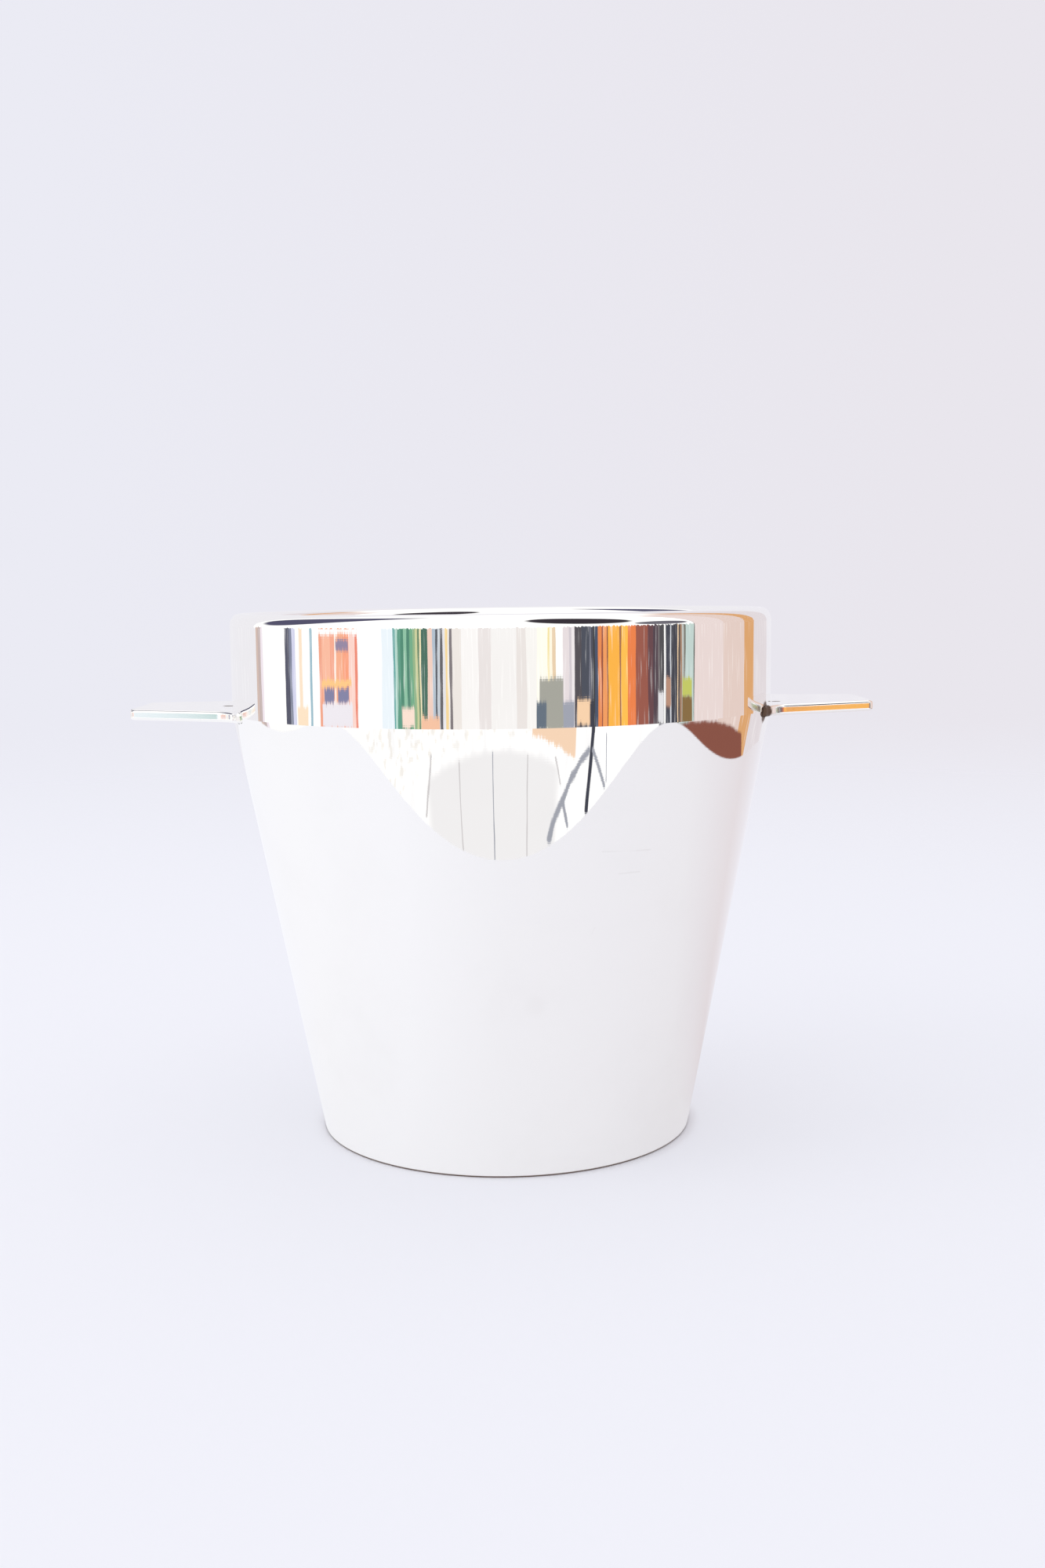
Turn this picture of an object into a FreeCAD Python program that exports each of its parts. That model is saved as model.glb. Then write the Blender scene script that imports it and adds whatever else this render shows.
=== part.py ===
# Silver champagne bucket: a conical wall and an upright collar soldered edge to edge at a crisp crease,
# a solid round-topped rim moulding that sits over the collar's edge and is flush with it outside,
# a flanged base plate let into the foot, and two flat plate handles that straddle the crease and flare
# into ears where they meet the bucket.
# Millimetres, +Z up, origin at the middle of the foot's underside.
import FreeCAD, Part
import math
import os
import Sketcher

NODE_FOLDER = "parts"
AXIAL = FreeCAD.Vector(0, 0, 1)
ROUND_ARCS = 4                      # arcs in the rim's half-round, kept apart so that its mesh is light

DRIVING_SIZES = {
    "rim_radius": 110.0,            # outside of the upright collar
    "foot_radius": 76.5,            # outside of the cone where it stands
    "bucket_height": 214.0,         # foot to the top of the rim moulding
    "crease_height": 174.0,         # where the cone meets the collar
    "wall_thickness": 1.2,          # sheet of the cone and the collar
    "bead_radius": 4.0,             # round top of the rim moulding
    "rebate_depth": 3.0,            # how far the moulding reaches down inside the collar
    "solder_gap": 0.05,             # film of solder between soldered pieces
    "foot_break": 0.35,             # broken edge that the bucket stands on
    "base_thickness": 1.5,          # sheet of the base plate
    "base_lift": 3.5,               # underside of the base plate above the table
    "flange_clearance": 0.6,        # end of the base plate's flange above the table
    "base_bend": 0.9,               # bevel inside and outside the turn of the flange
    "handle_reach": 39.7,           # handle beyond the collar, along the plate
    "handle_tip_width": 40.0,
    "handle_taper": 17.0,           # degrees that each straight side leans out towards the root
    "handle_root_width": 82.0,      # across the ears, where the plate meets the collar
    "handle_flare": 14.0,           # radius of the hollow curve from each side out to its ear
    "ear_edge": 1.2,                # square end left on each ear, so that it isn't a knife edge
    "handle_thickness": 4.4,
    "handle_corner": 2.3,           # corner radius at the tip, seen from above
    "handle_break": 0.45,           # broken edge all round the plate, above and below
    "handle_rise": 0.6,             # degrees that the plate climbs towards its tip
    "handle_drop": 0.3,             # middle of the plate below the crease
    "seat_overrun": 3.0,            # blank left behind the seat before the seat is cut
}

doc = FreeCAD.newDocument("champagne_bucket")
sizes = doc.addObject("Spreadsheet::Sheet", "Sizes")
for row, (alias, value) in enumerate(DRIVING_SIZES.items(), start=1):
    sizes.set(f"A{row}", alias)
    sizes.set(f"B{row}", str(value))
    sizes.setAlias(f"B{row}", alias)
doc.recompute()


# Formulas are written once, as text in the sheet's own names, and serve both to draw and to drive.

CONE_SLOPE = "((Sizes.rim_radius - Sizes.foot_radius) / Sizes.crease_height)"
CONE_COS = f"(1 / sqrt(1 + {CONE_SLOPE}^2))"
MITRE_RISE = f"(Sizes.wall_thickness * (1 / {CONE_COS} - 1) / {CONE_SLOPE})"
COLLAR_INSIDE = "(Sizes.rim_radius - Sizes.wall_thickness)"
FOOT_INSIDE = f"(Sizes.foot_radius - Sizes.wall_thickness / {CONE_COS})"
BEAD_CENTRE = "(Sizes.rim_radius - Sizes.bead_radius)"
BEAD_HEIGHT = "(Sizes.bucket_height - Sizes.bead_radius)"


def number(formula):
    """The present value of a formula."""
    return float(sizes.evalExpression(formula))


def origin_feature(body, role):
    return next(item for item in body.Origin.OriginFeatures if item.Role == role)


def new_body(label):
    body = doc.addObject("PartDesign::Body", label)
    body.Label = label
    return body


def new_sketch(body, name, plane_role):
    sketch = body.newObject("Sketcher::SketchObject", name)
    sketch.AttachmentSupport = [(origin_feature(body, plane_role), "")]
    sketch.MapMode = "FlatFace"
    return sketch


def pin(sketch, geometry, point, direction, formula):
    """Drive one coordinate of a point from the sheet, or lay the point on the axis at zero."""
    if formula == "0":
        axis = -2 if direction == "X" else -1
        sketch.addConstraint(Sketcher.Constraint("PointOnObject", geometry, point, axis))
        return
    value = number(formula)
    index = sketch.addConstraint(
        Sketcher.Constraint("Distance" + direction, -1, 1, geometry, point, value))
    sketch.setExpression(f"Constraints[{index}]", formula)


def draw_outline(sketch, corners, arcs=None):
    """A closed outline. A corner is (x, y, pinned coordinates). An arc replaces the edge that leaves
    its corner, and is given by its centre's formulas and whether it turns anticlockwise."""
    arcs = arcs or {}
    places = [FreeCAD.Vector(number(x), number(y), 0) for x, y, _ in corners]
    starts = []
    ends = []
    for index, here in enumerate(places):
        there = places[(index + 1) % len(places)]
        if index in arcs:
            centre_x, centre_y, anticlockwise = arcs[index]
            centre = FreeCAD.Vector(number(centre_x), number(centre_y), 0)
            first, last = (here, there) if anticlockwise else (there, here)
            from_angle = math.atan2(first.y - centre.y, first.x - centre.x)
            to_angle = math.atan2(last.y - centre.y, last.x - centre.x)
            if to_angle <= from_angle:
                to_angle += 2 * math.pi
            circle = Part.Circle(centre, AXIAL, centre.distanceToPoint(here))
            edge = sketch.addGeometry(Part.ArcOfCircle(circle, from_angle, to_angle))
            starts.append((edge, 1 if anticlockwise else 2))
            ends.append((edge, 2 if anticlockwise else 1))
            pin(sketch, edge, 3, "X", centre_x)
            pin(sketch, edge, 3, "Y", centre_y)
        else:
            edge = sketch.addGeometry(Part.LineSegment(here, there))
            starts.append((edge, 1))
            ends.append((edge, 2))
    for index in range(len(places)):
        following = (index + 1) % len(places)
        sketch.addConstraint(Sketcher.Constraint("Coincident", *ends[index], *starts[following]))
    for index, (x_formula, y_formula, pinned) in enumerate(corners):
        if "x" in pinned:
            pin(sketch, *starts[index], "X", x_formula)
        if "y" in pinned:
            pin(sketch, *starts[index], "Y", y_formula)


def revolve(body, sketch, name):
    turned = body.newObject("PartDesign::Revolution", name)
    turned.Profile = (sketch, [""])
    turned.ReferenceAxis = (sketch, ["V_Axis"])
    turned.Angle = 360
    sketch.Visibility = False
    doc.recompute()
    return turned


def ease_edges(body, name, kind, wanted, size_formula):
    """Fillet or chamfer the edges of the body's last feature that pass the test."""
    base = body.Tip
    edges = [f"Edge{place}" for place, edge in enumerate(base.Shape.Edges, start=1) if wanted(edge)]
    if not edges:
        raise RuntimeError(f"{body.Label}: no edge for {name}")
    easing = body.newObject(f"PartDesign::{kind}", name)
    easing.Base = (base, edges)
    driven = "Radius" if kind == "Fillet" else "Size"
    setattr(easing, driven, number(size_formula))
    easing.setExpression(driven, size_formula)
    doc.recompute()
    return easing


def on_circle(edge, radius, height, slack=0.01):
    """Whether an edge is a circle about the bucket's axis, at a radius and a height."""
    return (isinstance(edge.Curve, Part.Circle)
            and abs(edge.Curve.Radius - radius) < slack
            and abs(edge.Curve.Center.z - height) < slack)


def make_conical_wall():
    body = new_body("conical_wall")
    section = new_sketch(body, "wall_section", "XZ_Plane")
    draw_outline(section, [
        ("Sizes.foot_radius", "0", "xy"),
        ("Sizes.rim_radius", "Sizes.crease_height", "xy"),
        (COLLAR_INSIDE, f"Sizes.crease_height + {MITRE_RISE}", "xy"),
        (FOOT_INSIDE, "0", "xy"),
    ])
    revolve(body, section, "wall_turned")
    foot_radius = number("Sizes.foot_radius")
    ease_edges(body, "foot_eased", "Chamfer", lambda edge: on_circle(edge, foot_radius, 0),
               "Sizes.foot_break")
    return body


def make_collar():
    """The upright band, mitred to the cone at the crease."""
    body = new_body("collar")
    section = new_sketch(body, "collar_section", "XZ_Plane")
    draw_outline(section, [
        ("Sizes.rim_radius", "Sizes.crease_height + Sizes.solder_gap", "xy"),
        ("Sizes.rim_radius", f"{BEAD_HEIGHT} - Sizes.solder_gap", "xy"),
        (COLLAR_INSIDE, f"{BEAD_HEIGHT} - Sizes.solder_gap", "xy"),
        (COLLAR_INSIDE, f"Sizes.crease_height + {MITRE_RISE} + Sizes.solder_gap", "xy"),
    ])
    revolve(body, section, "collar_turned")
    return body


def make_rim_moulding():
    """A solid moulding: half-round on top, rebated underneath to sit over the collar's edge, and
    sloping back to the collar inside, so that nothing lodges under it."""
    body = new_body("rim_moulding")
    section = new_sketch(body, "moulding_section", "XZ_Plane")
    rebate_wall = f"({COLLAR_INSIDE} - Sizes.solder_gap)"
    corners = [("Sizes.rim_radius", BEAD_HEIGHT, "xy")]
    for step in range(1, ROUND_ARCS):
        angle = 180 * step / ROUND_ARCS
        corners.append((f"{BEAD_CENTRE} + Sizes.bead_radius * cos({angle} deg)",
                        f"{BEAD_HEIGHT} + Sizes.bead_radius * sin({angle} deg)", "x"))
    corners += [
        ("Sizes.rim_radius - 2 * Sizes.bead_radius", BEAD_HEIGHT, "y"),
        (rebate_wall, f"{BEAD_HEIGHT} - Sizes.rebate_depth", "xy"),
        (rebate_wall, BEAD_HEIGHT, "xy"),
    ]
    round_top = (BEAD_CENTRE, BEAD_HEIGHT, True)
    draw_outline(section, corners, arcs={step: round_top for step in range(ROUND_ARCS)})
    turned = revolve(body, section, "moulding_turned")
    turned.Refine = False
    doc.recompute()
    return body


def make_base_plate():
    """A pressed disc whose flange turns down inside the foot, clear of the table."""
    body = new_body("base_plate")
    section = new_sketch(body, "base_section", "XZ_Plane")
    edge_radius = f"({FOOT_INSIDE} - Sizes.solder_gap / {CONE_COS})"
    flange_width = f"(Sizes.base_thickness / {CONE_COS})"
    base_top = "(Sizes.base_lift + Sizes.base_thickness)"
    draw_outline(section, [
        ("0", "Sizes.base_lift", "xy"),
        (f"{edge_radius} - {flange_width} + Sizes.base_lift * {CONE_SLOPE}", "Sizes.base_lift", "xy"),
        (f"{edge_radius} - {flange_width} + Sizes.flange_clearance * {CONE_SLOPE}",
         "Sizes.flange_clearance", "xy"),
        (f"{edge_radius} + Sizes.flange_clearance * {CONE_SLOPE}", "Sizes.flange_clearance", "xy"),
        (f"{edge_radius} + {base_top} * {CONE_SLOPE}", base_top, "xy"),
        ("0", base_top, "xy"),
    ])
    revolve(body, section, "base_turned")
    inner_bend = number(f"{edge_radius} - {flange_width} + Sizes.base_lift * {CONE_SLOPE}")
    outer_bend = number(f"{edge_radius} + {base_top} * {CONE_SLOPE}")
    ease_edges(body, "bend_inside", "Chamfer",
               lambda edge: on_circle(edge, inner_bend, number("Sizes.base_lift")), "Sizes.base_bend")
    ease_edges(body, "bend_outside", "Chamfer",
               lambda edge: on_circle(edge, outer_bend, number(base_top)), "Sizes.base_bend")
    return body


def make_handle():
    """A flat tapered plate, tilted up a little, that flares at its root into two ears which follow
    the bucket's round. The root is cut to fit both the collar and the cone."""
    body = new_body("handle_right")
    plan = new_sketch(body, "plate_plan", "XY_Plane")
    plan.AttachmentOffset = FreeCAD.Placement(
        FreeCAD.Vector(0, 0, 0), FreeCAD.Rotation(FreeCAD.Vector(0, -1, 0), number("Sizes.handle_rise")))
    plan.setExpression("AttachmentOffset.Base.x", "Sizes.rim_radius")
    plan.setExpression("AttachmentOffset.Base.z", "Sizes.crease_height - Sizes.handle_drop")
    plan.setExpression("AttachmentOffset.Rotation.Angle", "Sizes.handle_rise")
    tip_half = "(Sizes.handle_tip_width / 2)"
    root_half = "(Sizes.handle_root_width / 2)"
    root_depth = f"(Sizes.rim_radius - sqrt(Sizes.rim_radius^2 - {root_half}^2))"
    blank_end = f"({root_depth} + Sizes.seat_overrun)"
    ear_end = f"(Sizes.ear_edge - {root_depth})"

    # The flare touches the straight side and passes through the ear's corner. Seen from the corner of
    # the tip, the ear's corner lies so far along the side and so far off it.
    taper_cos = "cos(Sizes.handle_taper * 1 deg)"
    taper_sin = "sin(Sizes.handle_taper * 1 deg)"
    run = f"(Sizes.handle_reach - {ear_end})"
    spread = f"({root_half} - {tip_half})"
    along_side = f"({run} * {taper_cos} + {spread} * {taper_sin})"
    off_side = f"({spread} * {taper_cos} - {run} * {taper_sin})"
    straight = f"({along_side} - sqrt({off_side} * (2 * Sizes.handle_flare - {off_side})))"
    flare_x = f"(Sizes.handle_reach - {straight} * {taper_cos})"
    flare_y = f"({tip_half} + {straight} * {taper_sin})"
    middle_x = f"({flare_x} + Sizes.handle_flare * {taper_sin})"
    middle_y = f"({flare_y} + Sizes.handle_flare * {taper_cos})"
    draw_outline(plan, [
        (f"-{blank_end}", f"-{root_half}", "xy"),
        (ear_end, f"-{root_half}", "y"),
        (flare_x, f"-{flare_y}", "xy"),
        ("Sizes.handle_reach", f"-{tip_half}", "xy"),
        ("Sizes.handle_reach", tip_half, "xy"),
        (flare_x, flare_y, "xy"),
        (ear_end, root_half, "y"),
        (f"-{blank_end}", root_half, "xy"),
    ], arcs={1: (middle_x, f"-{middle_y}", False), 5: (middle_x, middle_y, False)})
    plate = body.newObject("PartDesign::Pad", "plate")
    plate.Profile = (plan, [""])
    plate.SideType = "Symmetric"
    plate.setExpression("Length", "Sizes.handle_thickness")
    plan.Visibility = False
    doc.recompute()

    tip_x = number("Sizes.rim_radius + Sizes.handle_reach - Sizes.handle_corner")
    thickness = number("Sizes.handle_thickness")

    def stands_at_tip(edge):
        return edge.BoundBox.XMin > tip_x and abs(edge.Length - thickness) < 0.01

    ease_edges(body, "tip_corners", "Fillet", stands_at_tip, "Sizes.handle_corner")

    broad_faces = sorted(body.Tip.Shape.Faces, key=lambda face: face.Area)[-2:]

    def bounds_broad_face(edge):
        return any(edge.isSame(side) for face in broad_faces for side in face.Edges)

    ease_edges(body, "broken_edges", "Chamfer", bounds_broad_face, "Sizes.handle_break")

    blank_volume = body.Tip.Shape.Volume
    seat = new_sketch(body, "seat_section", "XZ_Plane")
    mid_cone = "((Sizes.rim_radius + Sizes.foot_radius) / 2 + Sizes.solder_gap)"
    draw_outline(seat, [
        ("0", "Sizes.crease_height / 2", "xy"),
        (mid_cone, "Sizes.crease_height / 2", "xy"),
        ("Sizes.rim_radius + Sizes.solder_gap", "Sizes.crease_height", "xy"),
        ("Sizes.rim_radius + Sizes.solder_gap", "Sizes.bucket_height", "xy"),
        ("0", "Sizes.bucket_height", "xy"),
    ])
    cut = body.newObject("PartDesign::Groove", "seat_cut")
    cut.Profile = (seat, [""])
    cut.ReferenceAxis = (seat, ["V_Axis"])
    cut.Angle = 360
    seat.Visibility = False
    doc.recompute()
    if body.Shape.Volume > blank_volume - 1:
        raise RuntimeError("the seat cut took nothing off the handle's root")
    return body


def make_opposite_handle(handle):
    mirrored = doc.addObject("Part::Mirroring", "handle_left")
    mirrored.Label = "handle_left"
    mirrored.Source = handle
    mirrored.Base = FreeCAD.Vector(0, 0, 0)
    mirrored.Normal = FreeCAD.Vector(1, 0, 0)
    return mirrored


def check(item):
    faults = [state for state in item.State if state in ("Invalid", "Error")]
    if faults:
        raise RuntimeError(f"{item.Label}: {faults}")


handle_right = make_handle()
nodes = [
    make_conical_wall(),
    make_collar(),
    make_rim_moulding(),
    make_base_plate(),
    handle_right,
    make_opposite_handle(handle_right),
]
doc.recompute()
for item in doc.Objects:
    check(item)

os.makedirs(NODE_FOLDER, exist_ok=True)
for node in nodes:
    shape = node.Shape
    if shape.isNull() or not shape.isValid() or len(shape.Solids) != 1:
        raise RuntimeError(f"{node.Label}: its shape isn't one valid solid")
    shape.exportStep(os.path.join(NODE_FOLDER, f"{node.Label}.step"))
    box = shape.optimalBoundingBox()
    print(f"{node.Label:14s} {shape.Volume:10.1f} mm3  x {box.XMin:8.2f} {box.XMax:8.2f}"
          f"  y {box.YMin:8.2f} {box.YMax:8.2f}  z {box.ZMin:7.2f} {box.ZMax:7.2f}")
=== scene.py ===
import math

import bmesh
import bpy
from mathutils import Matrix, Vector


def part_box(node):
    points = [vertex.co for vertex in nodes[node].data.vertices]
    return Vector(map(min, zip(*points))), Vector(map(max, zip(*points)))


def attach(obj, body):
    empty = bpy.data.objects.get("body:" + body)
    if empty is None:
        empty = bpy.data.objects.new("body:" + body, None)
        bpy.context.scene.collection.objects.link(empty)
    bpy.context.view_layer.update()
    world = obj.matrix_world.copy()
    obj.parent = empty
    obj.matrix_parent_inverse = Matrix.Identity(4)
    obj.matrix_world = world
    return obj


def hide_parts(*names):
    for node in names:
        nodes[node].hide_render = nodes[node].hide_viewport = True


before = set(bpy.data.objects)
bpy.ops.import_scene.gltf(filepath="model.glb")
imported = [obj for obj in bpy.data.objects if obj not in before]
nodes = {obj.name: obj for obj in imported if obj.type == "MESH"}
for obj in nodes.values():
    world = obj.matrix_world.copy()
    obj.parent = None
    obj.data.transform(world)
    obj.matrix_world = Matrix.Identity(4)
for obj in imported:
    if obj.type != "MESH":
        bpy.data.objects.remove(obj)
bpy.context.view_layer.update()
scene = bpy.context.scene
scene.view_settings.view_transform = "Standard"
print("frame loaded:", sorted(nodes))

# Driving sizes of the vessel, read off the frame. Metres throughout.
collarLow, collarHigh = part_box("collar")
rimRadius = collarHigh.x
creaseHeight = collarLow.z
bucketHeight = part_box("rim_moulding")[1].z
ringSteps = 256                              # facets round every turned piece
smoothAngle = math.radians(30)               # edges sharper than this stay crisp
rimTurn = 0.005                              # height over which the rim turns over outside
seamHeight = bucketHeight - rimTurn


def clearSelection():
    bpy.ops.object.select_all(action="DESELECT")


def activate(piece):
    clearSelection()
    bpy.context.view_layer.objects.active = piece
    piece.select_set(True)


def openMesh(name):                          # names the new primitive and enters edit mode, nothing selected
    piece = bpy.context.object
    piece.name = name
    piece.data.name = name
    bpy.ops.object.transform_apply(location=True, rotation=True, scale=True)
    bpy.ops.object.mode_set(mode="EDIT")
    bpy.ops.mesh.select_all(action="DESELECT")
    return piece


def pick(piece, kind, test):                 # selects the verts, edges or faces whose corners all pass
    bpy.ops.mesh.select_mode(type=kind)
    bpy.ops.mesh.select_all(action="DESELECT")
    mesh = bmesh.from_edit_mesh(piece.data)
    parts = {"VERT": mesh.verts, "EDGE": mesh.edges, "FACE": mesh.faces}[kind]
    for part in parts:
        corners = [part.co] if kind == "VERT" else [vert.co for vert in part.verts]
        if all(test(corner) for corner in corners):
            part.select = True
    mesh.select_flush_mode()
    bmesh.update_edit_mesh(piece.data)


def pickEdges(piece, test):                  # selects the edges whose two ends pass together
    bpy.ops.mesh.select_mode(type="EDGE")
    bpy.ops.mesh.select_all(action="DESELECT")
    mesh = bmesh.from_edit_mesh(piece.data)
    for edge in mesh.edges:
        first, second = (vert.co for vert in edge.verts)
        edge.select = test(first, second)
    bmesh.update_edit_mesh(piece.data)


def onRing(radius, height, slack=2e-5):
    return lambda co: abs(co.z - height) < slack and abs(math.hypot(co.x, co.y) - radius) < slack


def onLevel(height, slack=1e-6):
    return lambda co: abs(co.z - height) < slack


def growRing(piece, fromRadius, fromHeight, toRadius, toHeight):  # draws a turned wall from ring to ring
    pick(piece, "EDGE", onRing(fromRadius, fromHeight))
    bpy.ops.mesh.extrude_edges_move()
    share = toRadius / fromRadius
    bpy.ops.transform.resize(value=(share, share, 1), center_override=(0, 0, 0))
    bpy.ops.transform.translate(value=(0, 0, toHeight - fromHeight))


def joinRings(piece, low, high):
    pickEdges(piece, lambda a, b: (low(a) and low(b)) or (high(a) and high(b)))
    bpy.ops.mesh.bridge_edge_loops()


def closeMesh(piece):
    bpy.ops.mesh.select_all(action="SELECT")
    bpy.ops.mesh.remove_doubles(threshold=1e-6)
    bpy.ops.mesh.normals_make_consistent(inside=False)
    bpy.ops.mesh.select_all(action="DESELECT")
    bpy.ops.object.mode_set(mode="OBJECT")
    bpy.ops.object.shade_smooth_by_angle(angle=smoothAngle)
    return piece


# The cone: sheet metal, mitred at the crease, its foot edge worn round.
coneWall = {"footRadius": 0.0765, "sheet": 0.0012, "footRounding": 0.0005, "roundingSteps": 4,
            "footRing": 0.0009}


def makeConeWall(s):
    slope = (rimRadius - s["footRadius"]) / creaseHeight
    level = s["sheet"] * math.hypot(1, slope)                 # wall measured level
    mitreRise = s["sheet"] * (math.hypot(1, slope) - 1) / slope
    footInside = s["footRadius"] - level
    clearSelection()
    bpy.ops.mesh.primitive_cone_add(vertices=ringSteps, radius1=s["footRadius"], radius2=rimRadius,
                                    depth=creaseHeight, end_fill_type="NOTHING",
                                    location=(0, 0, creaseHeight / 2))
    piece = openMesh("bucket_cone")
    mitreRadius, mitreHeight = rimRadius - s["sheet"], creaseHeight + mitreRise
    growRing(piece, rimRadius, creaseHeight, mitreRadius, mitreHeight)
    growRing(piece, mitreRadius, mitreHeight, footInside, 0)
    joinRings(piece, onRing(footInside, 0), onRing(s["footRadius"], 0))
    pick(piece, "EDGE", onRing(s["footRadius"], 0))
    bpy.ops.mesh.bevel(offset=s["footRounding"], segments=s["roundingSteps"], affect="EDGES")
    bpy.ops.mesh.select_all(action="SELECT")                  # a ring close above keeps the wall straight
    bpy.ops.mesh.bisect(plane_co=(0, 0, s["footRing"]), plane_no=(0, 0, 1))
    return closeMesh(piece)


# The upright band between the crease and the rim moulding.
collarBand = {"sheet": coneWall["sheet"]}


def makeCollarBand(s):
    clearSelection()
    bpy.ops.mesh.primitive_cylinder_add(vertices=ringSteps, radius=rimRadius,
                                        depth=seamHeight - creaseHeight, end_fill_type="NOTHING",
                                        location=(0, 0, (seamHeight + creaseHeight) / 2))
    piece = openMesh("bucket_collar")
    inside = rimRadius - s["sheet"]
    growRing(piece, rimRadius, seamHeight, inside, seamHeight)
    growRing(piece, inside, seamHeight, inside, creaseHeight)
    joinRings(piece, onRing(inside, creaseHeight), onRing(rimRadius, creaseHeight))
    return closeMesh(piece)


# The rim: half-round on top, flush with the band outside, sloping back to it inside.
rimBead = {"radius": 0.004, "tubeSteps": 120, "rebate": 0.003, "sheet": collarBand["sheet"]}


def makeRimBead(s):
    centreHeight = bucketHeight - s["radius"]
    clearSelection()
    bpy.ops.mesh.primitive_torus_add(major_segments=ringSteps, minor_segments=s["tubeSteps"],
                                     major_radius=rimRadius - s["radius"], minor_radius=s["radius"],
                                     location=(0, 0, centreHeight))
    piece = openMesh("bucket_rim")
    bpy.ops.mesh.select_all(action="SELECT")
    bpy.ops.mesh.bisect(plane_co=(0, 0, centreHeight), plane_no=(0, 0, 1), clear_inner=True)
    crown = rimRadius - s["radius"]
    pick(piece, "VERT", lambda co: math.hypot(co.x, co.y) > crown + 1e-5)
    bpy.ops.transform.resize(value=(1, 1, rimTurn / s["radius"]), center_override=(0, 0, bucketHeight))
    innerRadius, rebateRadius = rimRadius - 2 * s["radius"], rimRadius - s["sheet"]
    growRing(piece, innerRadius, centreHeight, rebateRadius, centreHeight - s["rebate"])
    growRing(piece, rebateRadius, centreHeight - s["rebate"], rebateRadius, seamHeight)
    joinRings(piece, onRing(rebateRadius, seamHeight), onRing(rimRadius, seamHeight))
    return closeMesh(piece)


# A flat tapered plate with a flared root, cut to the round of the bucket. Angles are in degrees.
handlePlate = {"tipHalf": 0.020, "taper": 17.0, "rootHalf": 0.041, "flare": 0.014, "flareSteps": 160,
               "earEdge": 0.0012, "reach": 0.0397, "thickness": 0.0044, "corner": 0.0023,
               "cornerSteps": 8, "rounding": 0.0013, "roundingSteps": 6, "rise": 0.6,
               "drop": 0.0003, "bury": 0.0004, "overrun": 0.003, "seatDepth": 0.03}


def cutAway(piece, cutter):
    activate(piece)
    cut = piece.modifiers.new("cut", "BOOLEAN")
    cut.operation = "DIFFERENCE"
    cut.solver = "EXACT"
    cut.object = cutter
    bpy.ops.object.modifier_apply(modifier=cut.name)
    bpy.data.objects.remove(cutter)


def makeSideCutter(side, middle, s):         # takes away what lies outside a straight side and its flare
    earX = math.sqrt(rimRadius ** 2 - s["rootHalf"] ** 2) + s["earEdge"]
    tipX = rimRadius + s["reach"]
    lean = math.radians(s["taper"])
    run = tipX - earX
    spread = s["rootHalf"] - s["tipHalf"]
    alongSide = run * math.cos(lean) + spread * math.sin(lean)
    offSide = spread * math.cos(lean) - run * math.sin(lean)
    straight = alongSide - math.sqrt(offSide * (2 * s["flare"] - offSide))
    flareX = tipX - straight * math.cos(lean) + s["flare"] * math.sin(lean)
    flareY = s["tipHalf"] + straight * math.sin(lean) + s["flare"] * math.cos(lean)
    beyond = 2 * s["reach"]
    clearSelection()
    bpy.ops.mesh.primitive_cylinder_add(vertices=s["flareSteps"], radius=s["flare"],
                                        depth=4 * s["thickness"], location=(flareX, side * flareY, middle),
                                        rotation=(0, 0, -side * lean))
    cutter = openMesh("side_cutter")
    bpy.ops.mesh.select_all(action="SELECT")
    shift = (beyond * math.cos(lean), -side * beyond * math.sin(lean), 0)
    bpy.ops.mesh.duplicate_move(TRANSFORM_OT_translate={"value": shift})
    bpy.ops.mesh.select_all(action="SELECT")
    bpy.ops.mesh.convex_hull()
    return closeMesh(cutter)


def makeSeatCutter(s):                       # the bucket's outer skin, drawn in a little
    buried = rimRadius - s["bury"]
    depth = s["seatDepth"]
    narrow = buried - depth * (rimRadius - coneWall["footRadius"]) / creaseHeight
    clearSelection()
    bpy.ops.mesh.primitive_cone_add(vertices=ringSteps, radius1=narrow, radius2=buried, depth=depth,
                                    location=(0, 0, creaseHeight - depth / 2))
    cutter = openMesh("seat_cutter")
    pick(cutter, "FACE", lambda co: co.z > creaseHeight - 1e-5)
    bpy.ops.mesh.extrude_region_move(TRANSFORM_OT_translate={"value": (0, 0, depth)})
    return closeMesh(cutter)


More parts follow.
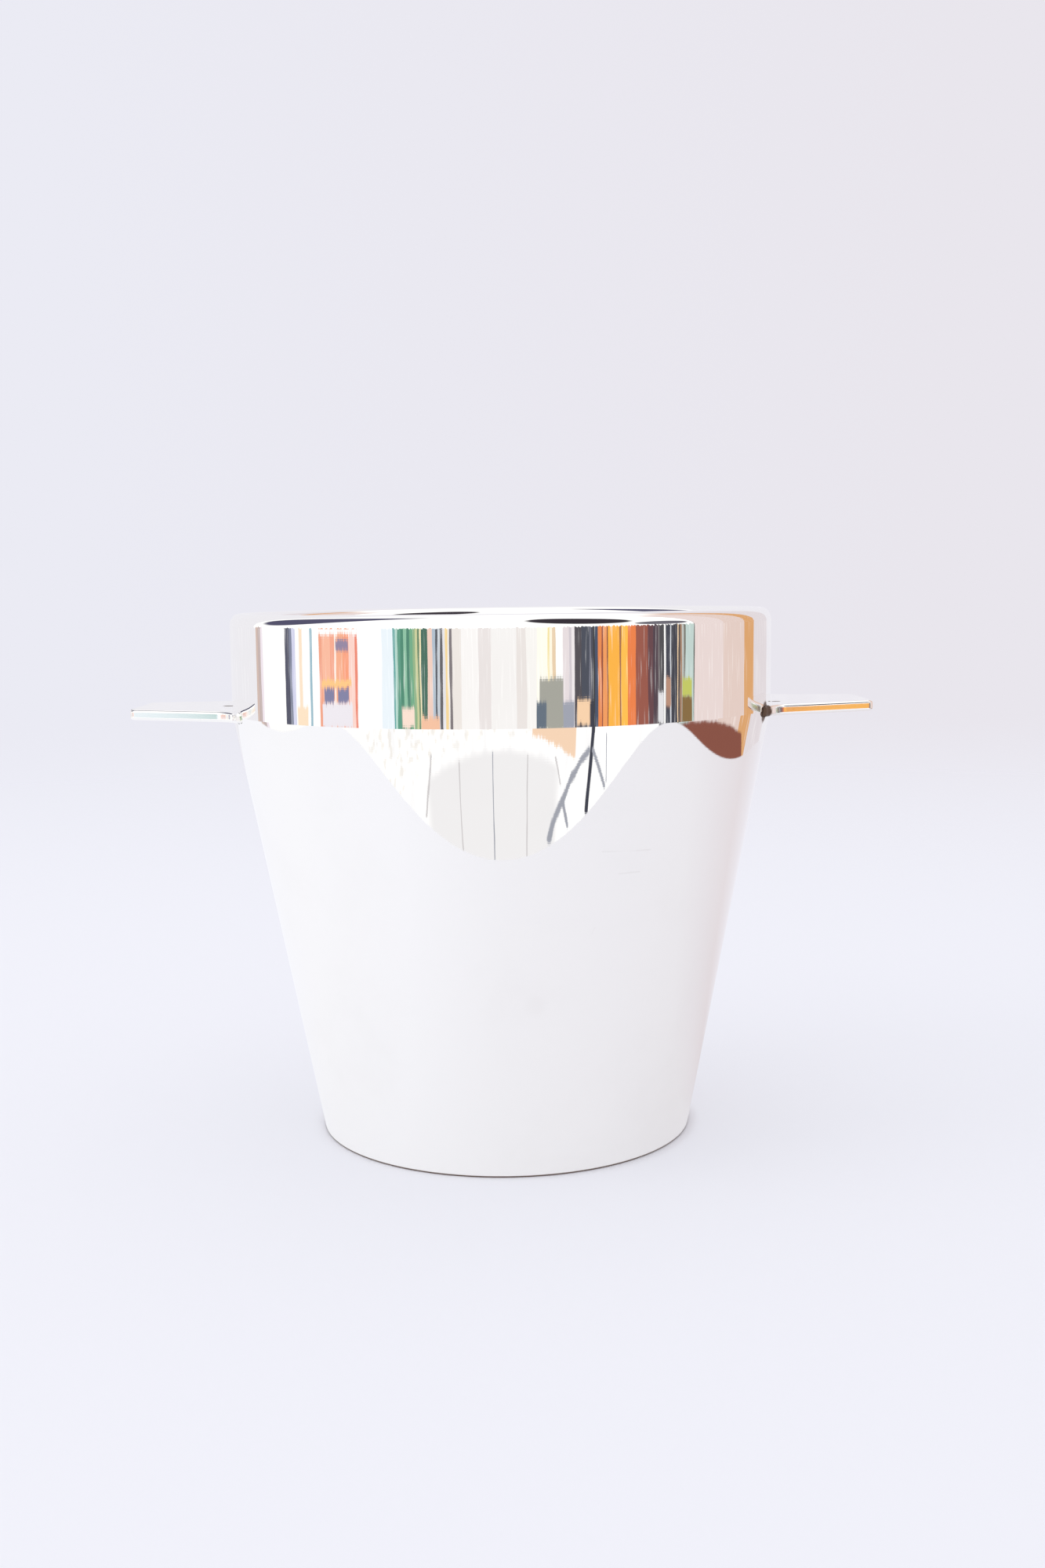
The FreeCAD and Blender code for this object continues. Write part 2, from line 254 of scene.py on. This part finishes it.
def makeHandle(name, side, s):
    tip = rimRadius + s["reach"]
    blankEnd = math.sqrt(rimRadius ** 2 - s["rootHalf"] ** 2) - s["overrun"]
    middle = creaseHeight - s["drop"]
    clearSelection()
    bpy.ops.mesh.primitive_cube_add(size=1, location=((tip + blankEnd) / 2, 0, middle),
                                    scale=(tip - blankEnd, 2 * s["rootHalf"], s["thickness"]))
    piece = closeMesh(openMesh(name))
    for edge in (-1, 1):
        cutAway(piece, makeSideCutter(edge, middle, s))
    bpy.ops.object.mode_set(mode="EDIT")
    upright = s["thickness"] / 2
    pickEdges(piece, lambda a, b: min(a.x, b.x) > tip - 1e-5 and abs(a.z - b.z) > upright)
    bpy.ops.mesh.bevel(offset=s["corner"], segments=s["cornerSteps"], affect="EDGES")
    for level in (middle - s["thickness"] / 2, middle + s["thickness"] / 2):
        pick(piece, "FACE", onLevel(level))
        bpy.ops.mesh.region_to_loop()
        bpy.ops.mesh.bevel(offset=s["rounding"], segments=s["roundingSteps"], affect="EDGES")
    bpy.ops.mesh.select_all(action="SELECT")
    bpy.ops.transform.rotate(value=math.radians(s["rise"]), orient_axis="Y",
                             center_override=(rimRadius, 0, middle))
    closeMesh(piece)
    cutAway(piece, makeSeatCutter(s))
    if side < 0:
        bpy.ops.object.mode_set(mode="EDIT")
        bpy.ops.mesh.select_all(action="SELECT")
        bpy.ops.transform.resize(value=(-1, 1, 1), center_override=(0, 0, 0))
        closeMesh(piece)
    activate(piece)
    bpy.ops.object.shade_smooth_by_angle(angle=smoothAngle)
    flat = piece.modifiers.new("flat", "WEIGHTED_NORMAL")
    flat.keep_sharp = True
    bpy.ops.object.modifier_apply(modifier=flat.name)
    return piece


def dress(piece, node, material):
    piece.data.materials.clear()
    piece.data.materials.append(material)
    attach(piece, "root")
    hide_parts(node)


def colour(red, green, blue):                # a colour as it shows on screen, 0 to 255
    def linear(channel):
        share = channel / 255
        return share / 12.92 if share <= 0.04045 else ((share + 0.055) / 1.055) ** 2.4
    return (linear(red), linear(green), linear(blue), 1)


class Wire:                                  # an output socket that can be reckoned with
    def __init__(self, tree, socket=None):
        self.tree = tree
        self.socket = socket

    def node(self, kind, settings=None, values=None, output=0):
        made = self.tree.nodes.new(kind)
        for key, value in (settings or {}).items():
            if key == "stops":
                fillRamp(made.color_ramp, value)
            else:
                setattr(made, key, value)
        for key, value in (values or {}).items():
            if isinstance(value, Wire):
                self.tree.links.new(value.socket, made.inputs[key])
            else:
                made.inputs[key].default_value = value
        return Wire(self.tree, made.outputs[output])

    def maths(self, operation, first, second=0.0):
        return self.node("ShaderNodeMath", {"operation": operation}, {0: first, 1: second})

    def __add__(self, other):
        return self.maths("ADD", self, other)

    def __radd__(self, other):
        return self.maths("ADD", other, self)

    def __sub__(self, other):
        return self.maths("SUBTRACT", self, other)

    def __rsub__(self, other):
        return self.maths("SUBTRACT", other, self)

    def __mul__(self, other):
        return self.maths("MULTIPLY", self, other)

    def __rmul__(self, other):
        return self.maths("MULTIPLY", other, self)

    def __truediv__(self, other):
        return self.maths("DIVIDE", self, other)

    def __pow__(self, other):
        return self.maths("POWER", self, other)

    def above(self, level):                  # 1 where this is greater, else 0
        return self.maths("GREATER_THAN", self, level)

    def orMore(self, other):                 # the greater of the two
        return self.maths("MAXIMUM", self, other)

    def between(self, low, high):            # 0 below low, 1 above high, a smooth step between
        return self.node("ShaderNodeMapRange", {"interpolation_type": "SMOOTHSTEP"},
                         {0: self, 1: low, 2: high})

    def under(self, high, low):              # the other way round: 0 above high, 1 below low
        return 1 - self.between(low, high)

    def within(self, low, high, soft):       # 1 from low to high, fading over soft on either side
        return self.between(low - soft, low + soft) * (1 - self.between(high - soft, high + soft))

    def mixed(self, share, first, second):
        return self.node("ShaderNodeMix", {"data_type": "RGBA"}, {0: share, 6: first, 7: second}, 2)

    def mix(self, first, second):            # first where this is 0, second where it is 1
        return self.mixed(self, first, second)

    def parts(self):
        split = self.node("ShaderNodeSeparateXYZ", {}, {0: self})
        outputs = split.socket.node.outputs
        return [Wire(self.tree, outputs[axis]) for axis in range(3)]

    def point(self, x, y, z):
        return self.node("ShaderNodeCombineXYZ", {}, {0: x, 1: y, 2: z})

    def vector(self, operation, second, output=0):
        return self.node("ShaderNodeVectorMath", {"operation": operation}, {0: self, 1: second}, output)

    def spot(self, centre, radius, core=0.5):        # 1 about a point, 0 beyond the radius
        return 1 - self.vector("DISTANCE", centre, 1).between(radius * core, radius)

    def stroke(self, start, end, width):             # 1 along the line from start to end, 0 off it
        span = [b - a for a, b in zip(start, end)]
        square = sum(part * part for part in span)
        away = self.vector("SUBTRACT", start)
        share = away.vector("DOT_PRODUCT", [part / square for part in span], 1)
        share = self.node("ShaderNodeClamp", {}, {0: share})
        nearest = self.node("ShaderNodeVectorMath", {"operation": "SCALE"}, {0: span, 3: share})
        return 1 - away.vector("DISTANCE", nearest, 1).between(width / 2, width)

    def noise(self, vector, detail=2.0):
        return self.node("ShaderNodeTexNoise", {}, {"Vector": vector, "Scale": 1.0, "Detail": detail})

    def ramp(self, stops, sharp=False):
        made = self.node("ShaderNodeValToRGB", {"stops": stops}, {0: self})
        made.socket.node.color_ramp.interpolation = "CONSTANT" if sharp else "LINEAR"
        return made


def fillRamp(ramp, stops):
    while len(ramp.elements) > 1:
        ramp.elements.remove(ramp.elements[0])
    for index, (place, shade) in enumerate(stops):
        element = ramp.elements[0] if index == 0 else ramp.elements.new(place)
        element.position = place
        element.color = shade


def startMaterial(name):
    material = bpy.data.materials.new(name)
    material.use_nodes = True
    tree = material.node_tree
    shader = tree.nodes["Principled BSDF"]
    return material, Wire(tree), shader


# Polished silver: mirror bright, with the level lines of the mop, wipe marks, scratches, old
# tarnish in the corners and a painted dark shade line along the foot. Places and sizes of the marks are in
# metres.
silver = {"tint": colour(253, 252, 250), "dull": colour(226, 222, 218), "tarnishAndShadeTone": colour(104, 84, 74),
          "mirror": 0.012, "lines": {"grain": (6, 2600), "seen": (0.62, 0.85), "height": 0.0000004},
          "clouds": {"grain": 22, "seen": (0.5, 0.8), "share": 0.4},
          "wipes": {"grain": (9, 34), "seen": (0.55, 0.85), "share": 0.3},
          "crumbs": {"grain": 900, "reach": 0.0018, "core": 0.7},
          "rough": {"haze": 0.012, "lines": 0.008, "worn": 0.2, "tarnishAndFootShade": 0.4},
          "tone": {"haze": 0.2, "worn": 0.6},
          "tarnishSpots": [((0.1029, -0.0385, 0.1735), 0.0050), ((-0.1125, -0.0022, 0.1763), 0.0028),
                           ((0.1110, -0.0155, 0.1763), 0.0022), ((-0.1478, -0.0195, 0.1738), 0.0009),
                           ((-0.1490, -0.0190, 0.1762), 0.0006)],
          "scratches": [((0.0330, -0.0894, 0.099), (0.0200, -0.0886, 0.076), 0.0004),
                        ((0.0360, -0.0945, 0.128), (0.0540, -0.0855, 0.127), 0.0005),
                        ((0.0420, -0.0904, 0.119), (0.0500, -0.0862, 0.119), 0.0005)],
          "scratchShare": 0.25, "smudge": ((0.011, -0.0890, 0.070), 0.006, 0.2), "smudgeShare": 0.1,
          # contact: heights over which the painted shade line along the foot fades out
          "contact": (0.0004, 0.0009)}


def makeSilver(name, s):
    material, wire, shader = startMaterial(name)
    tree = material.node_tree
    place = wire.node("ShaderNodeTexCoord", output="Object")
    x, y, z = place.parts()
    across, upright = s["lines"]["grain"]
    lines = wire.noise(wire.point(x * across, y * across, z * upright))
    clouds = wire.noise(place.vector("MULTIPLY", [s["clouds"]["grain"]] * 3), 4.0)
    across, upright = s["wipes"]["grain"]
    wipes = wire.noise(wire.point(x * across, y * across, z * upright), 3.0)
    grains = wire.noise(place.vector("MULTIPLY", [s["crumbs"]["grain"]] * 3), 3.0)
    haze = (clouds.between(*s["clouds"]["seen"]) * s["clouds"]["share"]
            + wipes.between(*s["wipes"]["seen"]) * s["wipes"]["share"])
    worn = place.spot(*s["smudge"]) * s["smudgeShare"]
    for start, end, width in s["scratches"]:
        worn = worn + place.stroke(start, end, width) * s["scratchShare"]
    rough, tone = s["rough"], s["tone"]
    roughness = s["mirror"] + haze * rough["haze"] + lines.between(*s["lines"]["seen"]) * rough["lines"]
    roughness = roughness + worn * rough["worn"]
    metal = (haze * tone["haze"] + worn * tone["worn"]).mix(s["tint"], s["dull"])
    shift = grains * s["crumbs"]["reach"]                     # crumbles the edges of the tarnish
    crumbled = place.vector("ADD", wire.point(shift, shift, shift))
    tarnishAndFootShade = 1 - z.between(*s["contact"])                      # painted shade: a dark line in the tarnish tone along the foot, where it meets the table
    for centre, radius in s["tarnishSpots"]:
        shifted = [part + s["crumbs"]["reach"] / 2 for part in centre]
        tarnishAndFootShade = tarnishAndFootShade.orMore(crumbled.spot(shifted, radius, s["crumbs"]["core"]))
    # the tarnish spots and the painted shade line along the foot both take the dark tone
    metal = tarnishAndFootShade.mix(metal, s["tarnishAndShadeTone"])
    tree.links.new((roughness + tarnishAndFootShade * rough["tarnishAndFootShade"]).socket, shader.inputs["Roughness"])
    tree.links.new(metal.socket, shader.inputs["Base Color"])
    bump = wire.node("ShaderNodeBump", {},
                     {"Strength": 1.0, "Distance": s["lines"]["height"], "Height": lines})
    tree.links.new(bump.socket, shader.inputs["Normal"])
    shader.inputs["Metallic"].default_value = 1.0
    return material


# Satin silver for the plate in the foot, with the rings that a lathe leaves.
satin = {"tint": colour(236, 233, 228), "dull": colour(214, 210, 205), "smooth": 0.22,
         "clouds": {"grain": 30, "seen": (0.35, 0.75), "rough": 0.14},
         "rings": {"grain": 2600, "rough": 0.06, "height": 0.000004}}


def makeSatin(name, s):
    material, wire, shader = startMaterial(name)
    tree = material.node_tree
    place = wire.node("ShaderNodeTexCoord", output="Object")
    x, y, z = place.parts()
    reach = (x * x + y * y) ** 0.5
    rings = wire.node("ShaderNodeTexNoise", {"noise_dimensions": "1D"},
                      {"W": reach * s["rings"]["grain"], "Scale": 1.0, "Detail": 2.0})
    clouds = wire.noise(place.vector("MULTIPLY", [s["clouds"]["grain"]] * 3), 5.0)
    roughness = s["smooth"] + clouds * s["clouds"]["rough"] + rings * s["rings"]["rough"]
    metal = clouds.between(*s["clouds"]["seen"]).mix(s["tint"], s["dull"])
    tree.links.new(roughness.socket, shader.inputs["Roughness"])
    tree.links.new(metal.socket, shader.inputs["Base Color"])
    bump = wire.node("ShaderNodeBump", {},
                     {"Strength": 1.0, "Distance": s["rings"]["height"], "Height": rings})
    tree.links.new(bump.socket, shader.inputs["Normal"])
    shader.inputs["Metallic"].default_value = 1.0
    return material


polished = makeSilver("polishedSilver", silver)
handled = makeSilver("handledSilver", {**silver, "mirror": 0.13})        # dulled by hands
dress(makeConeWall(coneWall), "conical_wall", polished)
dress(makeCollarBand(collarBand), "collar", polished)
dress(makeRimBead(rimBead), "rim_moulding", polished)
dress(makeHandle("handle_plate_right", 1, handlePlate), "handle_right", handled)
dress(makeHandle("handle_plate_left", -1, handlePlate), "handle_left", handled)
basePlate = nodes["base_plate"]
basePlate.data.materials.clear()
basePlate.data.materials.append(makeSatin("satinSilver", satin))
print("vessel made and dressed")

# A pale table that runs out softly into the backdrop. What the silver mirrors of it ends at
# the table's own edge: nearer in front than to the sides, far off behind.
table = {"half": 6.0, "tone": colour(247, 247, 253), "rough": 0.9, "shine": 0.1, "fade": (0.1, 2.4),
         "front": 0.310, "back": 1.2, "left": 0.60, "leftSpread": 0.30, "right": 0.553, "rightSpread": 0.11,
         "squareness": 3.6, "softness": 0.015, "glow": 0.65, "lift": 0.5, "lifted": colour(241, 242, 250),
         "contact": 0.006,
         # Painted reflection: tones the table glows with for glossy rays, by heading round the bucket,
         # lighter to the left and pinker grey to the right.
         "mirrored": [(-180, colour(253, 254, 258)), (-100, colour(254, 255, 258)),
                      (-40, colour(251, 252, 257)), (0, colour(243, 243, 248)), (49, colour(238, 237, 242)),
                      (83, colour(236, 234, 238)), (100, colour(231, 226, 230)),
                      (125, colour(224, 213, 215)), (150, colour(236, 232, 238)),
                      (180, colour(253, 254, 258))]}


def headingOf(wire, x, y):                   # -1 to 1 turn from the front, right-hand side positive
    return wire.maths("ARCTAN2", x, 0 - y) / math.pi


def makeTable(s):
    clearSelection()
    bpy.ops.mesh.primitive_plane_add(size=2 * s["half"], location=(0, 0, 0))
    floor = bpy.context.object
    floor.name = "table_top"
    material, wire, shader = startMaterial("paleTable")
    tree = material.node_tree
    shader.inputs["Base Color"].default_value = s["tone"]
    shader.inputs["Roughness"].default_value = s["rough"]
    shader.inputs["Specular IOR Level"].default_value = s["shine"]
    x, y, z = wire.node("ShaderNodeTexCoord", output="Object").parts()
    camera = wire.node("ShaderNodeLightPath", output="Is Camera Ray")
    glossy = wire.node("ShaderNodeLightPath", output="Is Glossy Ray")
    toRight = x / (s["right"] + y * s["rightSpread"])
    toLeft = (0 - x) / (s["left"] + y * s["leftSpread"])
    across = toRight.orMore(toLeft) ** s["squareness"]
    along = (y / s["back"]).orMore(y / -s["front"]) ** s["squareness"]
    past = (across + along).between(1 - s["softness"], 1 + s["softness"])
    reach = (x * x + y * y) ** 0.5
    far = reach.between(*s["fade"])
    clearOfFoot = reach.between(coneWall["footRadius"], coneWall["footRadius"] + s["contact"])
    stops = [(degrees / 360 + 0.5, shade) for degrees, shade in s["mirrored"]]
    shades = (headingOf(wire, x, y) / 2 + 0.5).ramp(stops)
    glow = wire.node("ShaderNodeEmission", {}, {0: glossy.mix(s["lifted"], shades)})
    # Glossy rays see the table glow with those painted tones. Camera rays see half of it as a flat glowing
    # tone that lifts its shade, except close round the foot.
    share = glossy * s["glow"] + camera * s["lift"] * clearOfFoot
    painted = Wire(tree, shader.outputs[0])
    painted = wire.node("ShaderNodeMixShader", {}, {0: share, 1: painted, 2: glow})
    clear = wire.node("ShaderNodeBsdfTransparent")
    blend = wire.node("ShaderNodeMixShader", {}, {0: glossy * past + camera * far, 1: painted, 2: clear})
    tree.links.new(blend.socket, tree.nodes["Material Output"].inputs["Surface"])
    floor.data.materials.append(material)


makeTable(table)

# What the silver mirrors: a bright room of upright stripes, with no figure in it. Each sector runs
# from one compass angle to another, in degrees from the front, the right-hand side positive.
glare = tuple(1.12 * part for part in colour(255, 255, 255))
white = (255, 255, 255)
sectors = [
    (-180, -60, [
        (-180, (232, 231, 237)), (-122, (206, 182, 172)), (-120, (190, 172, 170)), (-118, (236, 226, 236)),
        (-116, white), (-99.5, (66, 68, 92)), (-97, (120, 126, 150)), (-95.5, (206, 208, 236)), (-93, white),
        (-90.5, (250, 226, 200)), (-89, white), (-84.5, (150, 186, 202)), (-83, white),
        (-79.3, (240, 160, 130)), (-77.6, (248, 184, 156)), (-74, (244, 166, 138)), (-71.6, (255, 236, 226)),
        (-70.4, (246, 172, 136)), (-67, (248, 156, 118)), (-64.5, (250, 210, 200)), (-61.2, (236, 132, 108)),
        (-60.2, white)]),
    (-60, 0, [
        (-60, white), (-49, (234, 244, 252)), (-43.9, (90, 164, 160)), (-43.3, (182, 218, 208)),
        (-42.2, (80, 150, 126)), (-40.6, (60, 132, 106)), (-39.5, (134, 190, 160)), (-38.2, (60, 128, 104)),
        (-36.8, (104, 168, 130)), (-35.2, (140, 176, 130)), (-34.4, (200, 204, 152)), (-33.4, (96, 130, 96)),
        (-32.8, (236, 224, 180)), (-32, (50, 100, 82)), (-29.7, (238, 204, 190)), (-27.6, (172, 188, 204)),
        (-26.2, (70, 74, 86)), (-25.4, (196, 204, 214)), (-24.4, (88, 86, 92)), (-23.6, (226, 226, 232)),
        (-22.3, (244, 214, 150)), (-21.2, (240, 236, 232)), (-20.4, (120, 112, 116)),
        (-19.6, (236, 230, 226)),
        (-16, (248, 246, 246)), (-9, (232, 226, 226)), (-4, (244, 242, 242))]),
    (0, 60, [
        (0, (244, 242, 242)), (6, (232, 226, 224)), (10, (246, 244, 242)), (14, (255, 252, 240)),
        (18.6, (244, 226, 160)), (19.4, (252, 246, 226)), (20.6, (230, 204, 170)), (21.6, white),
        (24.8, (228, 218, 222)), (27, (206, 198, 206)), (28, (236, 230, 234)), (29.3, (62, 56, 66)),
        (32.5, (50, 56, 74)), (35.6, (116, 118, 134)), (36, (56, 58, 78)), (36.8, (28, 30, 42)),
        (38, (46, 62, 92)), (39.3, (230, 130, 60)), (41, (140, 60, 36)), (41.4, (238, 150, 80)),
        (43, (120, 52, 34)), (43.4, (250, 176, 44)), (48.7, (160, 100, 60)), (49.4, (253, 188, 60)),
        (52.2, (234, 120, 48)), (56, (146, 70, 50))]),
    (60, 180, [
        (60, (146, 70, 50)), (61.6, (88, 40, 50)), (64, (60, 34, 52)), (66.4, (104, 96, 100)),
        (67.5, (56, 54, 60)), (69.3, (240, 240, 240)), (70.2, (40, 44, 62)), (72.6, (210, 214, 222)),
        (73, (36, 38, 56)), (76, (248, 214, 170)), (76.8, (70, 60, 60)), (77.6, (160, 120, 90)),
        (78.6, (186, 190, 186)), (79.5, (110, 110, 100)), (80.4, (188, 208, 204)), (85, (90, 96, 90)),
        (85.6, (229, 212, 210)), (104, (223, 200, 192)), (120.5, (215, 157, 97)), (130.5, (220, 212, 217)),
        (150, (231, 229, 236))]),
]
# Bounded patches on the stripes: degrees round, from and to, then degrees up, from and to.
patches = [
    (-80.5, -59.5, -1.5, 1, white), (-70.6, -64.5, -2.05, -1.7, (150, 138, 166)),
    (-78, -63, -3.3, -3.05, (252, 204, 140)), (-76.6, -71.6, -3.85, -3.35, (134, 134, 168)),
    (-69.6, -64.5, -3.85, -3.35, (134, 134, 168)), (-78, -62.5, -4.7, -3.85, (238, 234, 242)),
    (-79, -60.5, -4.95, -4.75, (238, 140, 112)), (-92, -86, -4.85, -3.95, (252, 228, 200)),
    (-40.5, -35.3, -4.75, -4.05, (250, 226, 212)), (-32.4, -24.6, -5, -4.4, (245, 196, 166)),
    (15.3, 25, -4.9, -3.1, (166, 166, 158)), (14, 17.8, -4.9, -3.9, (104, 116, 130)),
    (24.8, 29.3, -4.9, -3.9, (160, 164, 178)), (30.6, 36.6, -4.65, -3.85, (246, 210, 174)),
    (66.4, 69.3, -4.7, -3.6, (226, 226, 230)), (70.4, 73, -4.1, -3.1, (184, 144, 124)),
    (79, 84.3, -3.75, -3.1, (194, 200, 104)), (79, 84.3, -4.7, -3.75, (136, 110, 72)),
    (13, 32, -26.7, -20, (244, 212, 184)), (-116, -60, -40, -5.15, white),
]
# Below the stripes, past the table's edge: a pale arch, crumbs of light, a brown slab that rises to
# the right, and the thin dark stems of a stand. Lines are (degrees round, degrees up) pairs and a width.
underTable = {"span": (-62, 70), "reached": (-9, -12), "pale": colour(250, 250, 252),
              "arch": (-34, 25, -45, -27.3), "archTone": colour(238, 237, 239),
              "crumbs": (-62, 13, -26.9, -20), "crumbTone": colour(206, 192, 168), "crumbShare": 0.3,
              "slab": {"tone": colour(136, 84, 72), "span": (71, 131.5), "corner": (74, -21.6),
                       "climb": 0.155, "top": (-13.75, -13.85)},
              "stem": colour(66, 68, 80), "leg": colour(160, 163, 174), "hair": colour(206, 203, 205),
              "steep": 6,
              "stems": [((36.8, -4), (39.5, -25.2), 1.1), ((39.5, -25.2), (38.7, -28.1), 1.0)],
              "legs": [((37.9, -26.0), (31.5, -27.3), 0.9), ((31.5, -27.3), (27.2, -28.4), 1.0),
                       ((27.2, -28.4), (23.0, -29.4), 1.1), ((23.0, -29.4), (21.5, -30.0), 1.1),
                       ((27.2, -28.4), (30.0, -29.1), 0.9), ((40.0, -25.9), (46.4, -26.6), 0.9),
                       ((45.5, -24.9), (47.3, -26.4), 0.3), ((-3.9, -27.4), (-3.9, -32), 0.3)],
              "hairs": [((-18.8, -27.4), (-18.8, -32), 0.3), ((11.3, -27.4), (11.3, -32), 0.3),
                        ((-31, -26.6), (-35, -28.4), 0.5), ((23.4, -27.1), (26, -27.9), 0.4)]}
# The dark beams over the room that show in the rim, each a slanting lens.
beams = [{"round": -97, "up": 42, "tilt": 0.75, "wide": 25, "tall": 27, "shade": colour(84, 82, 108)},
         {"round": 36, "up": 39, "tilt": -0.2, "wide": 25, "tall": 22, "shade": colour(56, 50, 58)},
         {"round": 70, "up": 14, "tilt": 0, "wide": 14, "tall": 9, "shade": colour(110, 108, 118)}]


# How the room is painted: grains are (round, up), and wander is in degrees.
room = {"strength": 1.05, "streakGrain": (60, 0.3), "streakWander": 1.6, "fineGrain": (260, 0.5),
        "fineWander": 0.5, "gleam": (0.56, 0.7), "gleamShare": 0.3, "veil": 0.045,
        "tall": (-124, 85.6), "tallEnd": (60, 50),
        "heads": {"grain": 150, "seen": (0.3, 0.7), "lowest": -1.55, "spread": 9, "soft": (-0.05, 0.4)},
        "backdrop": (colour(235, 235, 244), colour(233, 230, 237)), "plain": colour(240, 240, 244)}


def paintStripes(wire, turn, degrees, rise, fine):
    stripes = None
    for start, end, stops in sectors:
        share = (degrees - start) / (end - start)
        shades = [((place - start) / (end - start), colour(*shade)) for place, shade in stops]
        painted = share.ramp(shades, True)
        stripes = painted if stripes is None else degrees.above(start).mix(stripes, painted)
    stripes = (fine.between(*room["gleam"]) * room["gleamShare"]).mix(stripes, glare)
    stripes = wire.mixed(room["veil"], stripes, glare)        # the veil over every dark tone
    left, right = room["tall"]
    tall = degrees.above(right).orMore(1 - degrees.above(left)) * rise.under(*room["tallEnd"])
    heads = room["heads"]                                     # each stripe ends above at its own height
    uneven = wire.noise(wire.point(turn * heads["grain"], 0, 5)).between(*heads["seen"])
    ends = uneven * heads["spread"] + heads["lowest"]
    top = (rise - ends).between(*heads["soft"]) * (1 - tall)
    return top.mix(stripes, glare)


def paintUnder(wire, painted, turn, degrees, rise, streaks):
    crumbs = wire.noise(wire.point(turn * 90, rise * 3, 2), 3.0)
    pale = streaks.between(0.3, 0.7).mix(underTable["pale"], glare)
    left, right, low, high = underTable["arch"]
    arched = degrees.within(left, right, 2.5) * rise.within(low, high, 0.25)
    pale = arched.mix(pale, underTable["archTone"])
    left, right, low, high = underTable["crumbs"]
    strewn = crumbs.between(0.52, 0.62) * degrees.within(left, right, 3) * rise.within(low, high, 0.3)
    pale = (strewn * underTable["crumbShare"]).mix(pale, underTable["crumbTone"])
    inFront = degrees.within(*underTable["span"], 1)
    painted = (rise.under(*underTable["reached"]) * inFront).mix(painted, pale)
    slab = underTable["slab"]
    cornerTurn, cornerRise = slab["corner"]
    overSlab = rise - (degrees - cornerTurn) * slab["climb"] - cornerRise
    brown = overSlab.under(0, -0.15) * rise.under(*slab["top"]) * degrees.within(*slab["span"], 0.2)
    return brown.mix(painted, slab["tone"])


def paintStand(wire, painted, degrees, rise):
    steep = underTable["steep"]                               # evens out the squeeze of the cone's mirror
    aim = wire.point(degrees, rise * steep, 0)
    for kind, shade in (("stems", "stem"), ("legs", "leg"), ("hairs", "hair")):
        for start, end, width in underTable[kind]:
            line = aim.stroke((start[0], start[1] * steep, 0), (end[0], end[1] * steep, 0), width)
            painted = line.mix(painted, underTable[shade])
    return painted


def makeWorld():
    world = bpy.data.worlds.new("softRoom")
    scene.world = world
    world.use_nodes = True
    tree = world.node_tree
    wire = Wire(tree)
    x, y, z = wire.node("ShaderNodeTexCoord", output="Generated").parts()
    turn = headingOf(wire, x, y)
    rise = wire.maths("ARCSINE", z) * (180 / math.pi)
    around, upright = room["streakGrain"]
    streaks = wire.noise(wire.point(turn * around, rise * upright, 0), 3.0)
    around, upright = room["fineGrain"]
    fine = wire.noise(wire.point(turn * around, rise * upright, 7))
    degrees = turn * 180 + (streaks - 0.5) * room["streakWander"]
    level = rise + (fine - 0.5) * room["fineWander"]
    painted = paintStripes(wire, turn, degrees, rise, fine)
    painted = paintUnder(wire, painted, turn, degrees, rise, streaks)
    for left, right, low, high, shade in patches:
        patch = degrees.within(left, right, 0.25) * level.within(low, high, 0.06)
        painted = patch.mix(painted, colour(*shade))
    painted = paintStand(wire, painted, degrees, rise)
    for beam in beams:
        away = degrees - beam["round"]
        over = rise - beam["up"] - away * beam["tilt"]
        lens = (away / beam["wide"]) ** 2 + (over / beam["tall"]) ** 2
        painted = lens.under(1.05, 0.75).mix(painted, beam["shade"])
    camera = wire.node("ShaderNodeLightPath", output="Is Camera Ray")
    glossy = wire.node("ShaderNodeLightPath", output="Is Glossy Ray")
    behind = (x * 2.0 + 0.5).mix(*room["backdrop"])
    plain = wire.node("ShaderNodeBackground", {}, {0: camera.mix(room["plain"], behind)})
    mirrored = wire.node("ShaderNodeBackground", {}, {0: painted, 1: room["strength"]})
    shown = wire.node("ShaderNodeMixShader", {}, {0: glossy, 1: plain, 2: mirrored})
    tree.links.new(shown.socket, tree.nodes["World Output"].inputs["Surface"])
    tree.nodes.remove(tree.nodes["Background"])


makeWorld()
print("table and room set")

lamps = [
    {"name": "window_left", "place": (-1.6, -0.5, 1.3), "size": 1.2, "power": 5.0},
    {"name": "softbox_top", "place": (0.2, 0.1, 1.8), "size": 1.4, "power": 1.5},
]
for lamp in lamps:
    light = bpy.data.lights.new(lamp["name"], "AREA")
    light.shape = "SQUARE"
    light.size = lamp["size"]
    light.energy = lamp["power"]
    holder = bpy.data.objects.new(lamp["name"], light)
    scene.collection.objects.link(holder)
    holder.location = lamp["place"]
    holder.rotation_euler = Vector(lamp["place"]).to_track_quat("Z", "Y").to_euler()
    holder.visible_glossy = False

camera = {"distance": 0.6886, "height": 0.2229, "pitch": 6.71, "roll": -0.73, "lens": 38.25,
          "shift": 0.0128}
eye = bpy.data.cameras.new("camera")
eye.lens = camera["lens"]
eye.sensor_width = 36
eye.shift_x = camera["shift"]
eye.clip_start = 0.01
viewer = bpy.data.objects.new("camera", eye)
scene.collection.objects.link(viewer)
lookDown = Matrix.Rotation(math.radians(90 - camera["pitch"]), 4, "X")
lean = Matrix.Rotation(math.radians(camera["roll"]), 4, "Z")
viewer.matrix_world = Matrix.Translation((0, -camera["distance"], camera["height"])) @ lookDown @ lean
scene.camera = viewer
print("lamps and camera set")
